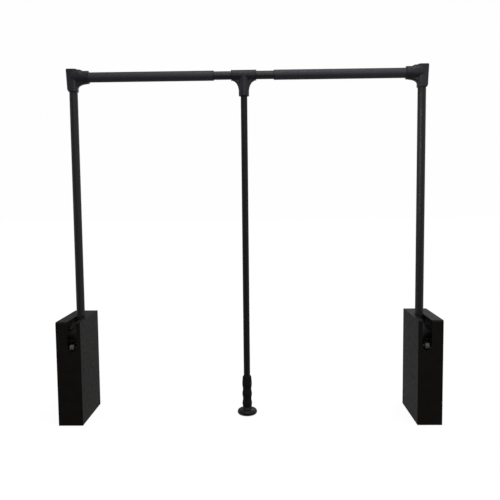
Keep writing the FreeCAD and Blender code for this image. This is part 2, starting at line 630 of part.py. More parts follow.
def gear_sector():
    step = 2 * math.pi / GEAR_TEETH
    start = (FIRST_TOOTH - 0.5) * step
    end = (LAST_TOOTH + 0.5) * step
    centre = around_pivot(0, 0)
    low = around_pivot(ROOT_R, start)
    middle = around_pivot(ROOT_R, (start + end) / 2)
    high = around_pivot(ROOT_R, end)
    edges = [
        Part.makeLine(centre, low),
        Part.Arc(low, middle, high).toShape(),
        Part.makeLine(high, centre),
    ]
    pieces = [Part.Face(Part.Wire(edges)).extrude(V(GEAR_WIDTH, 0, 0))]
    for number in range(FIRST_TOOTH, LAST_TOOTH + 1):
        pieces.append(gear_tooth(number * step))
    sector = joined(pieces)
    sector.translate(V(GEAR_X, 0, 0))
    return sector


def hub_drum():
    """A round wall around the boss, with a web on the side of the gear."""
    drum = along_x(DRUM_D, DRUM_X, HUB_END_X, PIVOT_Y, PIVOT_Z)
    hollow_d = DRUM_D - 2 * DRUM_WALL
    return drum.cut(along_x(hollow_d, DRUM_X + DRUM_WALL, HUB_END_X + FREE_GAP, PIVOT_Y, PIVOT_Z))


def pivot_hub():
    """The boss on the axle with its gear sector and drum, and the spigot that the arm sits on."""
    boss = along_x(HUB_D, GEAR_X, HUB_END_X, PIVOT_Y, PIVOT_Z)
    neck = along_x(HUB_NECK_D, HUB_START_X, GEAR_X, PIVOT_Y, PIVOT_Z)
    shoulder = along_z(ARM_D, ARM_X, PIVOT_Y, PIVOT_Z, ARM_FOOT_Z)
    spigot_d = ARM_D - 2 * ARM_WALL - 2 * PRESS_GAP
    spigot = along_z(spigot_d, ARM_X, PIVOT_Y, PIVOT_Z, ARM_FOOT_Z + SPIGOT_LENGTH)
    hub = joined([boss, neck, gear_sector(), hub_drum(), shoulder, spigot])
    bore_d = BUSH_D + 2 * PRESS_GAP
    bore = along_x(bore_d, HUB_START_X - FREE_GAP, HUB_END_X + FREE_GAP, PIVOT_Y, PIVOT_Z)
    return hub.cut(bore).cut(arm_pin_hole())


def arm_pin_hole():
    return along_x(ARM_PIN_D + 2 * PRESS_GAP, ARM_X - ARM_D, ARM_X + ARM_D, PIVOT_Y, ARM_PIN_Z)


def hub_bush():
    bush = along_x(BUSH_D, HUB_START_X, HUB_END_X, PIVOT_Y, PIVOT_Z)
    hole = along_x(AXLE_D + 2 * RUN_GAP, HUB_START_X - FREE_GAP, HUB_END_X + FREE_GAP, PIVOT_Y, PIVOT_Z)
    return bush.cut(hole)


def arm_tube():
    top = RAIL_HEIGHT - ARM_TOP_DROP
    outside = along_z(ARM_D, ARM_X, PIVOT_Y, ARM_FOOT_Z, top)
    inside = along_z(ARM_D - 2 * ARM_WALL, ARM_X, PIVOT_Y, ARM_FOOT_Z - FREE_GAP, top + FREE_GAP)
    return outside.cut(inside).cut(arm_pin_hole())


def arm_pin():
    half = ARM_R - ARM_WALL / 2
    return along_x(ARM_PIN_D, ARM_X - half, ARM_X + half, PIVOT_Y, ARM_PIN_Z)


# Corner connector

ELBOW_HALF_DEPTH = ARM_R + ELBOW_ARM_WALL
ELBOW_INNER = ARM_R + ELBOW_INNER_WALL
ELBOW_COLLAR_D = RAIL_D + 2 * ELBOW_COLLAR_WALL
ELBOW_BOTTOM_Z = RAIL_HEIGHT - ELBOW_DROP
ELBOW_TOP_Z = RAIL_HEIGHT + ELBOW_RISE
ELBOW_END_X = ARM_X + ELBOW_REACH
COLLAR_X = ELBOW_END_X - ELBOW_COLLAR_LENGTH
RAIL_END_X = ELBOW_END_X - RAIL_SOCKET


def rounded_corner(corner, to_start, to_end):
    """The arc that rounds a square corner between two points on its sides."""
    middle = corner + (to_start + to_end) * (1 - math.sqrt(0.5))
    return Part.Arc(corner + to_start, middle, corner + to_end).toShape()


def column_outline(outer, z):
    """A level section of the column, with its outer side at a distance from the arm's axis."""
    outer_x = ARM_X - outer
    inner_x = ARM_X + ELBOW_INNER
    front = PIVOT_Y - ELBOW_HALF_DEPTH
    back = PIVOT_Y + ELBOW_HALF_DEPTH
    outer_in = V(ELBOW_OUTER_CORNER, 0, 0)
    outer_back = V(0, ELBOW_OUTER_CORNER, 0)
    inner_in = V(-ELBOW_INNER_CORNER, 0, 0)
    inner_back = V(0, ELBOW_INNER_CORNER, 0)
    arcs = [
        rounded_corner(V(outer_x, front, z), outer_back, outer_in),
        rounded_corner(V(inner_x, front, z), inner_in, inner_back),
        rounded_corner(V(inner_x, back, z), -inner_back, inner_in),
        rounded_corner(V(outer_x, back, z), outer_in, -outer_back),
    ]
    edges = []
    for arc, following in zip(arcs, arcs[1:] + arcs[:1]):
        edges.append(arc)
        edges.append(Part.makeLine(arc.Vertexes[1].Point, following.Vertexes[0].Point))
    return Part.Wire(edges)


def elbow_column(proud):
    """The upright socket over the arm: its outer side leans out a little and is bevelled at the foot."""
    foot = ARM_R + ELBOW_FOOT_WALL
    outer = ARM_R + ELBOW_OUTER_WALL + proud
    outlines = [
        column_outline(foot, ELBOW_BOTTOM_Z),
        column_outline(outer, ELBOW_BOTTOM_Z + ELBOW_FOOT_BEVEL),
        column_outline(outer + ELBOW_OUTER_LEAN, ELBOW_TOP_Z),
    ]
    return Part.makeLoft(outlines, True, True)


def upright_oval(x, half_width, rise, drop):
    """A section of the neck: round above and below, with straight sides."""
    top = RAIL_HEIGHT + rise - half_width
    bottom = RAIL_HEIGHT - drop + half_width
    front = PIVOT_Y - half_width
    back = PIVOT_Y + half_width
    edges = [
        Part.makeLine(V(x, front, bottom), V(x, front, top)),
        Part.Arc(V(x, front, top), V(x, PIVOT_Y, top + half_width), V(x, back, top)).toShape(),
        Part.makeLine(V(x, back, top), V(x, back, bottom)),
        Part.Arc(V(x, back, bottom), V(x, PIVOT_Y, bottom - half_width), V(x, front, bottom)).toShape(),
    ]
    return Part.Wire(edges)


def elbow_neck():
    """The neck around the rail's socket, which falls from the column to the rail's collar."""
    narrow = ELBOW_COLLAR_D / 2 - ELBOW_NECK_STEP
    side = ELBOW_NECK_SIDE / 2
    wide = ELBOW_NECK_WIDTH / 2
    sections = [
        upright_oval(ARM_X - ELBOW_NECK_START, wide, ELBOW_NECK_RISE, wide + side),
        upright_oval(ARM_X + ELBOW_RIDGE, (wide + narrow) / 2, ELBOW_RIDGE_RISE, (wide + narrow) / 2 + side),
        upright_oval(COLLAR_X, narrow, narrow + side, narrow + side),
    ]
    return Part.makeLoft(sections, True, True)


def hollow_corner(low, high, inside, thickness, rounding):
    """A web with a curved edge from low to high, filled back to an inside corner."""
    bend = V(low.x, low.y, high.z) + V(high.x - low.x, 0, low.z - high.z) * CORNER_FULLNESS
    curve = Part.BezierCurve()
    curve.setPoles([low, bend, high])
    edges = [
        curve.toShape(),
        Part.makeLine(high, V(high.x, low.y, inside.z)),
        Part.makeLine(V(high.x, low.y, inside.z), inside),
        Part.makeLine(inside, V(inside.x, low.y, low.z)),
        Part.makeLine(V(inside.x, low.y, low.z), low),
    ]
    web = Part.Face(Part.Wire(edges)).extrude(V(0, thickness, 0))
    curved = [edge for edge in web.Edges if edge.Curve.TypeId != "Part::GeomLine"]
    return web.makeFillet(rounding, curved)


def elbow_web():
    front = PIVOT_Y - ELBOW_WEB / 2
    low = V(ARM_X + ELBOW_INNER, front, RAIL_HEIGHT - ELBOW_WEB_DROP)
    high = V(ELBOW_END_X - ELBOW_COLLAR_LENGTH / 2, front, RAIL_HEIGHT - ELBOW_COLLAR_D / 2)
    return hollow_corner(low, high, V(ARM_X, front, RAIL_HEIGHT), ELBOW_WEB, ELBOW_WEB_ROUND)


def edges_at_z(shape, z):
    found = []
    for edge in shape.Edges:
        away = abs(edge.BoundBox.ZMin - z) + abs(edge.BoundBox.ZMax - z)
        if away < FREE_GAP:
            found.append(edge)
    return found


def elbow():
    column = elbow_column(0)
    column = column.makeFillet(ELBOW_TOP_ROUND, edges_at_z(column, ELBOW_TOP_Z))
    rail_collar = along_x(ELBOW_COLLAR_D, COLLAR_X, ELBOW_END_X, PIVOT_Y, RAIL_HEIGHT)
    body = joined([column, rail_collar, elbow_neck(), elbow_web()])
    arm_top = RAIL_HEIGHT - ARM_TOP_DROP
    body = body.cut(along_z(ARM_D + 2 * PRESS_GAP, ARM_X, PIVOT_Y, ELBOW_BOTTOM_Z - FREE_GAP, arm_top))
    rail_bore_d = RAIL_D + 2 * PRESS_GAP
    body = body.cut(along_x(rail_bore_d, RAIL_END_X, ELBOW_END_X + FREE_GAP, PIVOT_Y, RAIL_HEIGHT))
    body = body.cut(cap_block(PRESS_GAP))
    for x, y, z in elbow_screw_places():
        body = body.cut(along_y(SET_SCREW_D + 2 * PRESS_GAP, x, y, y + ELBOW_COLLAR_D, z))
    return body


def elbow_screw_places():
    """Where the two set screws press on the arm and on the rail, from behind."""
    on_arm = (ARM_X, PIVOT_Y + ARM_R + PRESS_GAP, RAIL_HEIGHT - ARM_SET_SCREW_DROP)
    on_rail = (RAIL_END_X + RAIL_SET_SCREW_DEPTH, PIVOT_Y + RAIL_R + PRESS_GAP, RAIL_HEIGHT)
    return [on_arm, on_rail]


def set_screw(x, y, z, length):
    """A headless screw along Y with a hexagon socket in its rear end."""
    body = along_y(SET_SCREW_D, x, y, y + length, z)
    radius = SET_SCREW_HEX / math.sqrt(3)
    turns = [math.radians(60 * corner) for corner in range(6)]
    points = [V(x + radius * math.cos(turn), y + length / 2, z + radius * math.sin(turn)) for turn in turns]
    return body.cut(polygon_solid(points, V(0, length, 0)))


def elbow_screws():
    lengths = (ELBOW_ARM_WALL, ELBOW_COLLAR_WALL)
    screws = []
    for (x, y, z), length in zip(elbow_screw_places(), lengths):
        screws.append(set_screw(x, y, z, length))
    return Part.makeCompound(screws)


def cap_block(gap):
    """A bar with round ends, level with the cap, grown by a gap."""
    half_width = CAP_WIDTH / 2 + gap
    outer_x = ARM_X - ELBOW_REACH
    seat_x = ARM_X - ARM_R - CAP_SEAT_WALL + gap
    low = RAIL_HEIGHT - CAP_DROP - (CAP_HEIGHT - CAP_WIDTH) / 2
    high = RAIL_HEIGHT - CAP_DROP + (CAP_HEIGHT - CAP_WIDTH) / 2
    pieces = [box(outer_x, seat_x, PIVOT_Y - half_width, PIVOT_Y + half_width, low, high)]
    for end_z in (low, high):
        pieces.append(along_x(2 * half_width, outer_x, seat_x, PIVOT_Y, end_z))
    return joined(pieces)


def elbow_cap():
    """The long cover in the connector's outer side, standing a little proud of it."""
    return cap_block(0).common(elbow_column(CAP_PROUD))


# Telescopic rail

RAIL_BORE_D = RAIL_D - 2 * RAIL_WALL


def rail_sleeve(outer_d, bore_d, x_from, x_to):
    """A piece of tube on the rail's axis."""
    outside = along_x(outer_d, x_from, x_to, PIVOT_Y, RAIL_HEIGHT)
    bore = along_x(bore_d, x_from - FREE_GAP, x_to + FREE_GAP, PIVOT_Y, RAIL_HEIGHT)
    return outside.cut(bore)


def rail_tube(mouth):
    return rail_sleeve(RAIL_D, RAIL_BORE_D, RAIL_END_X, -mouth - GUIDE_BUSH_FLANGE)


def guide_bush(mouth):
    """The plastic sleeve in the outer tube's mouth, with a flange over the tube's end."""
    flange_x = -mouth - GUIDE_BUSH_FLANGE
    start_x = flange_x - GUIDE_BUSH_LENGTH
    sleeve = along_x(RAIL_BORE_D - 2 * PRESS_GAP, start_x, -mouth, PIVOT_Y, RAIL_HEIGHT)
    flange = along_x(RAIL_D, flange_x, -mouth, PIVOT_Y, RAIL_HEIGHT)
    rim = [edge for edge in flange.Edges if edge.BoundBox.XMin > -mouth - FREE_GAP]
    flange = flange.makeChamfer(GUIDE_BUSH_CHAMFER, rim)
    hole = along_x(INNER_D + 2 * SLIDE_GAP, start_x - FREE_GAP, -mouth + FREE_GAP, PIVOT_Y, RAIL_HEIGHT)
    return joined([sleeve, flange]).cut(hole)


INNER_START_X = MIDDLE_SHIFT - INNER_HALF
INNER_END_X = MIDDLE_SHIFT + INNER_HALF


def rail_inner_tube():
    return rail_sleeve(INNER_D, INNER_D - 2 * INNER_WALL, INNER_START_X, INNER_END_X)


def rail_end_plugs():
    """The plugs in the inner tube's ends, whose heads slide in the outer tubes."""
    head_d = RAIL_BORE_D - 2 * SLIDE_GAP
    spigot_d = INNER_D - 2 * INNER_WALL - 2 * PRESS_GAP
    plugs = []
    for end_x, side in ((INNER_START_X, -1), (INNER_END_X, 1)):
        head_x = sorted((end_x, end_x + side * END_PLUG_HEAD))
        spigot_x = sorted((end_x, end_x - side * END_PLUG_SPIGOT))
        head = along_x(head_d, head_x[0], head_x[1], PIVOT_Y, RAIL_HEIGHT)
        spigot = along_x(spigot_d, spigot_x[0], spigot_x[1], PIVOT_Y, RAIL_HEIGHT)
        plugs.append(joined([head, spigot]))
    return Part.makeCompound(plugs)


# Tee, pull rod, grip and knob

TEE_SLEEVE_D = INNER_D + 2 * RUN_GAP + 2 * TEE_WALL
TEE_BOTTOM_Z = RAIL_HEIGHT - TEE_DROP
ROD_TOP_Z = TEE_BOTTOM_Z + TEE_SOCKET
TEE_SCREW_Z = TEE_BOTTOM_Z + TEE_SCREW_RISE
GRIP_BOTTOM = KNOB_BOTTOM + KNOB_HEIGHT
GRIP_TOP = GRIP_BOTTOM + GRIP_LENGTH


def tee_connector():
    half = TEE_LENGTH / 2
    sleeve = along_x(TEE_SLEEVE_D, MIDDLE_SHIFT - half, MIDDLE_SHIFT + half, PIVOT_Y, RAIL_HEIGHT)
    stem = along_z(TEE_STEM_D, MIDDLE_SHIFT, PIVOT_Y, TEE_BOTTOM_Z, RAIL_HEIGHT)
    front = PIVOT_Y - TEE_FIN / 2
    inside = V(MIDDLE_SHIFT, front, RAIL_HEIGHT)
    pieces = [sleeve, stem]
    for side in (-1, 1):
        low = V(MIDDLE_SHIFT + side * TEE_STEM_D / 2, front, RAIL_HEIGHT - TEE_FIN_DROP)
        high = V(MIDDLE_SHIFT + side * half, front, RAIL_HEIGHT - TEE_SLEEVE_D / 2)
        pieces.append(hollow_corner(low, high, inside, TEE_FIN, TEE_FIN_ROUND))
    bore_d = INNER_D + 2 * RUN_GAP
    rod_hole_d = ROD_D + 2 * PRESS_GAP
    screw_hole_d = SET_SCREW_D + 2 * PRESS_GAP
    bore = along_x(bore_d, MIDDLE_SHIFT - TEE_LENGTH, MIDDLE_SHIFT + TEE_LENGTH, PIVOT_Y, RAIL_HEIGHT)
    rod_hole = along_z(rod_hole_d, MIDDLE_SHIFT, PIVOT_Y, TEE_BOTTOM_Z - FREE_GAP, ROD_TOP_Z)
    screw_hole = along_y(screw_hole_d, MIDDLE_SHIFT, PIVOT_Y, PIVOT_Y + TEE_STEM_D, TEE_SCREW_Z)
    return joined(pieces).cut(bore).cut(rod_hole).cut(screw_hole)


def tee_screw():
    start_y = PIVOT_Y + ROD_R + PRESS_GAP
    return set_screw(MIDDLE_SHIFT, start_y, TEE_SCREW_Z, TEE_STEM_D / 2 - ROD_R)


def tee_rings():
    """The rings on the inner tube that keep the tee in its place along the rail."""
    rings = []
    for side in (-1, 1):
        near_x = MIDDLE_SHIFT + side * (TEE_LENGTH / 2 + STOP_GAP)
        span = sorted((near_x, near_x + side * TEE_RING_WIDTH))
        ring_d = TEE_SLEEVE_D + 2 * TEE_RING_PROUD
        rings.append(rail_sleeve(ring_d, INNER_D + 2 * PRESS_GAP, span[0], span[1]))
    return Part.makeCompound(rings)


def pull_rod():
    outside = along_z(ROD_D, MIDDLE_SHIFT, PIVOT_Y, GRIP_BOTTOM, ROD_TOP_Z)
    bore_d = ROD_D - 2 * ROD_WALL
    return outside.cut(along_z(bore_d, MIDDLE_SHIFT, PIVOT_Y, GRIP_BOTTOM - FREE_GAP, ROD_TOP_Z + FREE_GAP))


def turned(edges):
    """A solid turned about the pull rod's axis from a half section."""
    face = Part.Face(Part.Wire(edges))
    return face.revolve(V(MIDDLE_SHIFT, PIVOT_Y, 0), V(0, 0, 1), 360)


def off_axis(radius, z):
    return V(MIDDLE_SHIFT + radius, PIVOT_Y, z)


def handle_grip():
    """A soft grip with a bevelled top and evenly spaced swellings."""
    bore = ROD_R + PRESS_GAP
    shoulder_z = GRIP_TOP - GRIP_SHOULDER_DROP
    pitch = (GRIP_LENGTH - GRIP_FIRST_SWELL - GRIP_LAST_SWELL) / (GRIP_SWELLS - 1)
    outline = [off_axis(GRIP_SHOULDER_D / 2, shoulder_z)]
    for number in range(GRIP_SWELLS):
        swell_z = GRIP_TOP - GRIP_FIRST_SWELL - number * pitch
        outline.append(off_axis(GRIP_SWELL_D / 2, swell_z))
        if number < GRIP_SWELLS - 1:
            outline.append(off_axis(GRIP_WAIST_D / 2, swell_z - pitch / 2))
    outline.append(off_axis(GRIP_FOOT_D / 2, GRIP_BOTTOM))
    edges = [
        Part.makeLine(off_axis(bore, GRIP_BOTTOM), off_axis(bore, GRIP_TOP)),
        Part.makeLine(off_axis(bore, GRIP_TOP), off_axis(GRIP_MOUTH_D / 2, GRIP_TOP)),
        Part.makeLine(off_axis(GRIP_MOUTH_D / 2, GRIP_TOP), outline[0]),
    ]
    for upper, lower in zip(outline, outline[1:]):
        edges.append(easy_curve(upper, lower))
    edges.append(Part.makeLine(outline[-1], off_axis(bore, GRIP_BOTTOM)))
    return turned(edges)


def easy_curve(upper, lower):
    """A curve between two heights that is upright at both ends."""
    middle_z = (upper.z + lower.z) / 2
    curve = Part.BezierCurve()
    curve.setPoles([upper, V(upper.x, upper.y, middle_z), V(lower.x, lower.y, middle_z), lower])
    return curve.toShape()


def knob():
    """A thick round foot under the grip, with a full rim and a spigot in the pull rod."""
    spigot = ROD_R - ROD_WALL - PRESS_GAP
    spigot_top = GRIP_BOTTOM + KNOB_SPIGOT
    half_rim = KNOB_RIM / 2
    rim_middle = KNOB_D / 2 - half_rim
    rim_top = off_axis(rim_middle, KNOB_BOTTOM + KNOB_RIM)
    rim_side = off_axis(KNOB_D / 2, KNOB_BOTTOM + half_rim)
    rim_bottom = off_axis(rim_middle, KNOB_BOTTOM)
    neck = off_axis(GRIP_FOOT_D / 2, GRIP_BOTTOM)
    flare = Part.BezierCurve()
    flare.setPoles([neck, off_axis(GRIP_FOOT_D / 2, rim_top.z), rim_top])
    centre = V(MIDDLE_SHIFT, PIVOT_Y, KNOB_BOTTOM + KNOB_HOLLOW)
    edges = [
        Part.makeLine(centre, V(MIDDLE_SHIFT, PIVOT_Y, spigot_top)),
        Part.makeLine(V(MIDDLE_SHIFT, PIVOT_Y, spigot_top), off_axis(spigot, spigot_top)),
        Part.makeLine(off_axis(spigot, spigot_top), off_axis(spigot, GRIP_BOTTOM)),
        Part.makeLine(off_axis(spigot, GRIP_BOTTOM), neck),
        flare.toShape(),
        Part.Arc(rim_top, rim_side, rim_bottom).toShape(),
        Part.makeLine(rim_bottom, centre),
    ]
    return turned(edges)


SIDE_PIECES = (
    mounting_plate, housing_cover, cover_screws, cheek_plate, spacer_posts, pivot_axle, stop_pins,
    spring_bridge, rack_guide, damper_cylinder, counter_spring,
    rack, draw_bar, crosshead, draw_bar_nut, damper_rod,
    pivot_hub, hub_bush, arm_tube, arm_pin, elbow, elbow_cap, elbow_screws,
)
OUTER_RAIL_PIECES = (rail_tube, guide_bush)
MIDDLE_PIECES = (
    rail_inner_tube, rail_end_plugs, tee_rings, tee_connector, tee_screw, pull_rod, handle_grip, knob,
)

MOUTHS = (("left", RAIL_MOUTH - MIDDLE_SHIFT), ("right", RAIL_MOUTH + MIDDLE_SHIFT))


def write_side(side, piece, name):
    """Writes a piece of the left side, or its mirror image for the right."""
    if side == "right":
        piece = piece.mirror(V(0, 0, 0), V(1, 0, 0))
    piece.exportStep("parts/" + side + "_" + name + ".step")


os.makedirs("parts", exist_ok=True)
for side, mouth in MOUTHS:
    for make in SIDE_PIECES:
        write_side(side, make(), make.__name__)
    for make in OUTER_RAIL_PIECES:
        write_side(side, make(mouth), make.__name__)
for make in MIDDLE_PIECES:
    make().exportStep("parts/" + make.__name__ + ".step")
print("least gap between the spring's turns, mm:", round(spring_gap(), 2))
print("rack travel, mm:", round(RACK_TRAVEL, 3))
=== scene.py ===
import json
import math

import bpy
from mathutils import Matrix, Vector


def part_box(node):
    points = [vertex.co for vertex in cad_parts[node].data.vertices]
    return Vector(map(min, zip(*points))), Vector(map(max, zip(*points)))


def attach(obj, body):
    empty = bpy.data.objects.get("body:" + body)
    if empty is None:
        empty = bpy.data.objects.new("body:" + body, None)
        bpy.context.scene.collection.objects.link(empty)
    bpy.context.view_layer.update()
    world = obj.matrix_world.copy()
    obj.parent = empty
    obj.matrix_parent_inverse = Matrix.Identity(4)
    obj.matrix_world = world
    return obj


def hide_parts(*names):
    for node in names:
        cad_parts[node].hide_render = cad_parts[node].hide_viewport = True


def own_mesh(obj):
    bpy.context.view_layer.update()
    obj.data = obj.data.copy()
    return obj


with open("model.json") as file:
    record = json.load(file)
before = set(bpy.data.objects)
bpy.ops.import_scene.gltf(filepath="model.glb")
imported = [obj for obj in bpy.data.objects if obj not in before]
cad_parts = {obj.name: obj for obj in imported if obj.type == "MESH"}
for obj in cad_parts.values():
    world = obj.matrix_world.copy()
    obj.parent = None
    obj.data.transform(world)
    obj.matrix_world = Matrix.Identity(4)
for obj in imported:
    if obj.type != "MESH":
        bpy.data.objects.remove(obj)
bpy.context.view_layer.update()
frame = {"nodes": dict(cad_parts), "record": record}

MM = 0.001

# Camera, at the photograph's place
CAMERA_PLACE = (0.0391, -1.5243, 0.5410)
CAMERA_YAW = -0.0228        # radians, to the right
CAMERA_PITCH = 0.0819       # radians, downwards
CAMERA_ROLL = 0.0102        # radians
CAMERA_LENS = 44.53         # millimetres, on a sensor of 36

# Counterbalance springs
SPRING_WIRE = 4.0 * MM
SPRING_TURNS = 10
SPRING_FLAT_TURNS = 0.75    # at each end, where the wire lies on its seat
SPRING_SIDES = 14
SPRING_STEPS = 48           # for each turn

# Noise, gloss and edges of all finishes. The families of finishes follow, each with its looks by slot.
NOISE_ROUGHNESS = 0.55      # share that each finer noise keeps of the one before
NOISE_LOW = 0.35            # range of a noise that becomes a colour or a roughness
NOISE_HIGH = 0.65
USUAL_GLOSS = 0.5
BEVEL_SAMPLES = 6
WORN_PATCH = 9 * MM
WORN_LEAST = 0.15           # share of the wear that is left between the patches
WORN_START = 0.02           # turn of an edge where wear begins, as one less its cosine
WORN_FULL = 0.25            # and where it is full

# Moulded plastic
PLASTIC_CLOUD = 26 * MM
PLASTIC_SHEEN = 7 * MM      # patches of roughness
PLASTIC_WAVE = 18 * MM
PLASTIC_WAVE_DEPTH = 0.04 * MM
PLASTIC_EDGE = 0.5 * MM
PLASTIC_WORN_EDGE = 0.7 * MM
PLASTICS = {
    "cover_plastic": dict(
        dark=(0.0073, 0.0056, 0.0046), light=(0.0109, 0.0085, 0.0071), worn=(0.05, 0.045, 0.042),
        rough=(0.42, 0.56), grain=0.55 * MM, depth=0.02 * MM, gloss=0.2),
    "connector_plastic": dict(
        dark=(0.021, 0.0197, 0.027), light=(0.028, 0.0265, 0.036), worn=(0.07, 0.07, 0.075),
        rough=(0.38, 0.50), grain=0.45 * MM, depth=0.03 * MM),
    "bush_plastic": dict(
        dark=(0.010, 0.010, 0.011), light=(0.015, 0.015, 0.017), worn=(0.05, 0.05, 0.05),
        rough=(0.40, 0.55), grain=0.4 * MM, depth=0.02 * MM),
    "knob_plastic": dict(
        dark=(0.005, 0.005, 0.005), light=(0.008, 0.008, 0.008), worn=(0.07, 0.07, 0.07),
        rough=(0.34, 0.46), grain=0.45 * MM, depth=0.03 * MM, gloss=0.42),
}

# Powder coat
COAT_SPECKLE = 0.9 * MM
COAT_SPECKLE_SHARE = 1 / 3  # of the depth of the orange peel
COAT_PEEL = 1.6 * MM
COAT_SHEEN = 11 * MM
COAT_WEAR = 3               # times the coat's light colour, on worn edges
COAT_EDGE = 0.4 * MM
COAT_WORN_EDGE = 0.5 * MM
COATS = {
    "black_tube": dict(
        dark=(0.0115, 0.0115, 0.0118), light=(0.016, 0.016, 0.0164), rough=(0.38, 0.50), depth=0.012 * MM),
    "rod_tube": dict(
        dark=(0.003, 0.003, 0.003), light=(0.005, 0.005, 0.005), rough=(0.42, 0.54), depth=0.012 * MM,
        gloss=0.43),
    "rail_tube": dict(
        dark=(0.042, 0.0397, 0.0525), light=(0.056, 0.053, 0.07), rough=(0.42, 0.54), depth=0.012 * MM),
    "inner_tube": dict(
        dark=(0.027, 0.0259, 0.0337), light=(0.037, 0.0353, 0.0449), rough=(0.30, 0.40), depth=0.008 * MM),
    "hub_metal": dict(
        dark=(0.030, 0.030, 0.032), light=(0.040, 0.040, 0.042), rough=(0.45, 0.60), depth=0.02 * MM),
    "damper_paint": dict(
        dark=(0.020, 0.020, 0.022), light=(0.030, 0.030, 0.032), rough=(0.25, 0.35), depth=0.01 * MM),
}

# Rubber
RUBBER_PATCH = 12 * MM
RUBBER_SHEEN = 5 * MM
RUBBER_GRAIN = 0.5 * MM
RUBBER_GRAIN_DEPTH = 0.05 * MM
RUBBER_EDGE = 0.5 * MM
RUBBERS = {
    "grip_rubber": dict(
        dark=(0.0012, 0.0012, 0.0013), light=(0.0028, 0.0028, 0.0030), rough=(0.62, 0.82), gloss=0.36),
}

# Steel and bronze
STEEL_LINE = 0.35 * MM
STEEL_LINE_DEPTH = 0.012 * MM
STEEL_STAIN = 14 * MM
BRONZE_PORE = 0.45 * MM
BRONZE_PORE_DEPTH = 0.02 * MM
METAL_EDGE = 0.3 * MM
STEELS = {
    "zinc_steel": dict(
        dark=(0.44, 0.45, 0.47), light=(0.62, 0.63, 0.64), rough=(0.28, 0.48), stretch=(1, 1, 12)),
    "bright_steel": dict(
        dark=(0.55, 0.55, 0.56), light=(0.70, 0.70, 0.71), rough=(0.18, 0.34), stretch=(1, 10, 10)),
    "spring_steel": dict(
        dark=(0.13, 0.13, 0.14), light=(0.24, 0.24, 0.25), rough=(0.25, 0.42), stretch=(4, 4, 1)),
    "black_screw": dict(
        dark=(0.05, 0.05, 0.055), light=(0.09, 0.09, 0.095), rough=(0.35, 0.50), stretch=(1, 1, 1)),
}
BRONZES = {
    "bush_bronze": dict(dark=(0.30, 0.19, 0.09), light=(0.66, 0.47, 0.25), rough=(0.5, 0.3)),
}

# Acetal
ACETAL_FLOW = 6 * MM
ACETAL_FLOW_STRETCH = (1, 1, 3)
ACETAL_GRAIN = 0.8 * MM
ACETAL_GRAIN_DEPTH = 0.01 * MM
ACETAL_EDGE = 0.4 * MM
ACETALS = {
    "guide_plastic": dict(dark=(0.22, 0.22, 0.23), light=(0.30, 0.30, 0.31), rough=(0.35, 0.5)),
}

# Stop pins: blackened steel, whose dark also stands in for the shade in the slot, with a pale patch
# painted on each head as a glint
BLACKENED_PIN_AND_SHADE_COLOUR = (0.006, 0.006, 0.006)
PIN_HEAD_WIDTH = 10.0 * MM
PIN_EDGE = 0.4 * MM
PIN_ROUGH = (0.5, 0.65)
PAINTED_GLINT_COLOUR = (0.20, 0.20, 0.20)
PAINTED_GLINT_START = 0.2 * MM     # from bare pin to full painted glint
PAINTED_GLINT_CLOUD = 2.5 * MM
PAINTED_GLINT_CLOUD_LEAST = 0.85
PIN_SHEEN = 1.5 * MM
PIN_GRAIN = 0.4 * MM
PIN_GRAIN_DEPTH = 0.02 * MM

# Floor
FLOOR_SIZE = 30.0
FLOOR_COLOUR = (0.20, 0.20, 0.20, 1)
FLOOR_ROUGHNESS = 0.9
FLOOR_GLOW = 0.91

# Room: what the camera sees, and how strongly it lights the object from each way
ROOM_WHITE = 0.99
ROOM_BACK = 0.28
ROOM_FRONT_LOW = 0.035
ROOM_FRONT_HIGH = 0.33
ROOM_RISE = 0.35            # sine of the angle where the front is at its brightest
ROOM_FRONT_LEFT = 0.7       # share of the front's light at its left
ROOM_FRONT_RIGHT = 1.5      # and at its right
ROOM_ASIDE = 0.5            # sine of the angle where the front's left and right are reached
ROOM_SIDES = 0.20           # added at the far left and right
ROOM_SIDE_START = 0.5       # sine of the angle where the sides begin

# Softboxes: name, place, aim, size, watts and spread in degrees
SOFTBOXES = (
    ("overhead", (0.05, -0.30, 1.95), (0, 0, 0.4), (0.9, 0.6), 3.2, 180),
    ("rail_strip", (0.35, -0.70, 1.70), (0.15, 0, 0.84), (1.2, 0.08), 1.2, 180),
    ("front_top", (0.2, -2.0, 1.3), (0, 0, 0.65), (1.0, 0.3), 2.8, 180),
    ("left_side", (-1.6, -0.5, 0.75), (-0.3, 0, 0.55), (0.2, 1.3), 0.4, 180),
    ("right_arm", (0.0, -0.6, 0.74), (0.43, 0, 0.63), (0.16, 0.3), 0.075, 45),
    ("back", (0.7, 1.6, 1.3), (0, 0, 0.5), (1.2, 0.8), 2.5, 180),
)


# Nodes of a material or of the world

def add(owner, kind, inputs=None, **settings):
    """A new shader node, with its settings and the values of its inputs."""
    made = owner.node_tree.nodes.new("ShaderNode" + kind)
    for name, value in settings.items():
        setattr(made, name, value)
    for name, value in (inputs or {}).items():
        made.inputs[name].default_value = value
    return made


def link(owner, source, target):
    owner.node_tree.links.new(source, target)


def worked_out(owner, operation, *values):
    """The outcome of an operation on one or two values."""
    made = add(owner, "Math", operation=operation)
    for value, socket in zip(values, made.inputs):
        link(owner, value, socket)
    return made.outputs["Value"]


def spread(owner, factor, low, high, start=NOISE_LOW, end=NOISE_HIGH):
    """A factor between start and end, spread from a low value to a high one."""
    inputs = {"From Min": start, "From Max": end, "To Min": low, "To Max": high}
    ranged = add(owner, "MapRange", inputs)
    link(owner, factor, ranged.inputs["Value"])
    return ranged.outputs["Result"]


def sockets_of(sockets, kind):
    return [socket for socket in sockets if socket.type == kind]


